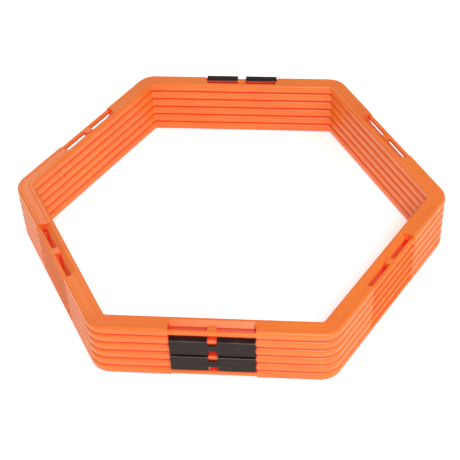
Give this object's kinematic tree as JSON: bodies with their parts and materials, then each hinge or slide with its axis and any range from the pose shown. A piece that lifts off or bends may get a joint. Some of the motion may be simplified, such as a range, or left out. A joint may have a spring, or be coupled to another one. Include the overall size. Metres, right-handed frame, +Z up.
{
  "type": "folding agility ring set",
  "caption": "Stack of flat hexagonal plastic rings joined front and rear by push-fit hinge clips, which unfolds like an accordion into a row on the ground.",
  "frame": {"origin": "under the middle of the lowest ring, on the surface that the stack lies on", "axes": "+Z up, through the stack; +X to the right, along the hinge bars; -Y to the front, the side with two clips; +Y to the rear, the side with three"},
  "size_m": [0.5198, 0.4632, 0.0763],
  "materials": {
    "ring_plastic": "satin moulded, bright orange",
    "clip_plastic": "satin moulded, black-brown"
  },
  "bodies": {
    "ring_1": {"ring_1": "ring_plastic"},
    "ring_2": {"ring_2": "ring_plastic"},
    "ring_3": {"ring_3": "ring_plastic"},
    "ring_4": {"ring_4": "ring_plastic"},
    "ring_5": {"ring_5": "ring_plastic"},
    "ring_6": {"ring_6": "ring_plastic"},
    "clip_1_2": {"clip_1_2": "clip_plastic"},
    "clip_2_3": {"clip_2_3": "clip_plastic"},
    "clip_3_4": {"clip_3_4": "clip_plastic"},
    "clip_4_5": {"clip_4_5": "clip_plastic"},
    "clip_5_6": {"clip_5_6": "clip_plastic"}
  },
  "joints": [
    {"name": "clip_5_6_on_ring_6", "type": "hinge", "parent": "ring_6", "child": "clip_5_6", "pos_m": [0, 0.2259, 0.0059], "axis": [-1, 0, 0], "range_deg": [0, 90]},
    {"name": "ring_5_on_clip_5_6", "type": "hinge", "parent": "clip_5_6", "child": "ring_5", "pos_m": [0, 0.2259, 0.0188], "axis": [-1, 0, 0], "range_deg": [0, 90]},
    {"name": "clip_4_5_on_ring_5", "type": "hinge", "parent": "ring_5", "child": "clip_4_5", "pos_m": [0, -0.2259, 0.0188], "axis": [1, 0, 0], "range_deg": [0, 90]},
    {"name": "ring_4_on_clip_4_5", "type": "hinge", "parent": "clip_4_5", "child": "ring_4", "pos_m": [0, -0.2259, 0.0317], "axis": [1, 0, 0], "range_deg": [0, 90]},
    {"name": "clip_3_4_on_ring_4", "type": "hinge", "parent": "ring_4", "child": "clip_3_4", "pos_m": [0, 0.2259, 0.0317], "axis": [-1, 0, 0], "range_deg": [0, 90]},
    {"name": "ring_3_on_clip_3_4", "type": "hinge", "parent": "clip_3_4", "child": "ring_3", "pos_m": [0, 0.2259, 0.0446], "axis": [-1, 0, 0], "range_deg": [0, 90]},
    {"name": "clip_2_3_on_ring_3", "type": "hinge", "parent": "ring_3", "child": "clip_2_3", "pos_m": [0, -0.2259, 0.0446], "axis": [1, 0, 0], "range_deg": [0, 90]},
    {"name": "ring_2_on_clip_2_3", "type": "hinge", "parent": "clip_2_3", "child": "ring_2", "pos_m": [0, -0.2259, 0.0575], "axis": [1, 0, 0], "range_deg": [0, 90]},
    {"name": "clip_1_2_on_ring_2", "type": "hinge", "parent": "ring_2", "child": "clip_1_2", "pos_m": [0, 0.2259, 0.0575], "axis": [-1, 0, 0], "range_deg": [0, 90]},
    {"name": "ring_1_on_clip_1_2", "type": "hinge", "parent": "clip_1_2", "child": "ring_1", "pos_m": [0, 0.2259, 0.0704], "axis": [-1, 0, 0], "range_deg": [0, 90]}
  ]
}
